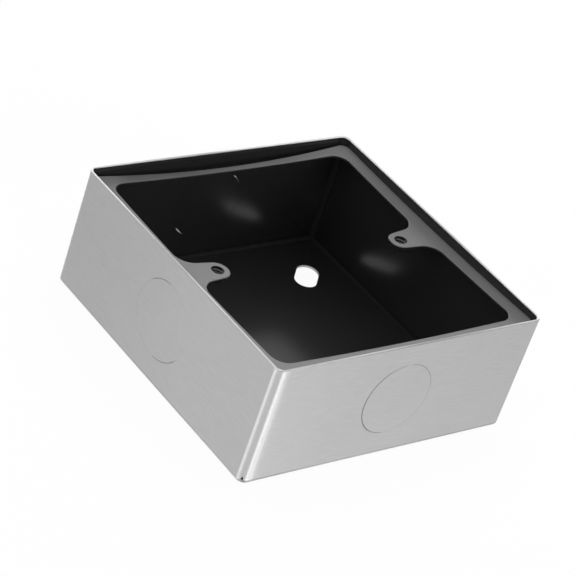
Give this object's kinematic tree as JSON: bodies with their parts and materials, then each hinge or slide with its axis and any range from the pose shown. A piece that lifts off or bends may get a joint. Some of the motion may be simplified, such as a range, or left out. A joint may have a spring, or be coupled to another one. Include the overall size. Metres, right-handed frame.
{
  "type": "surface wall socket box",
  "caption": "Square sheet-steel wall box with an open front, slit knock-outs, slotted base and a recessed frame with tapped lugs for a socket faceplate.",
  "frame": {"origin": "centre of the back face, the one that goes against the wall", "axes": "+Z out of the open front, X through the two faceplate lugs, Y across them"},
  "size_m": [0.086, 0.086, 0.0344],
  "materials": {
    "stainless_shell": "brushed outside, black inside",
    "black_frame": "semi-gloss black",
    "brass": "turned"
  },
  "bodies": {
    "root": {"box_shell": "stainless_shell", "mounting_frame": "black_frame", "earth_pillar": "brass", "earth_screw": "brass"}
  },
  "joints": []
}
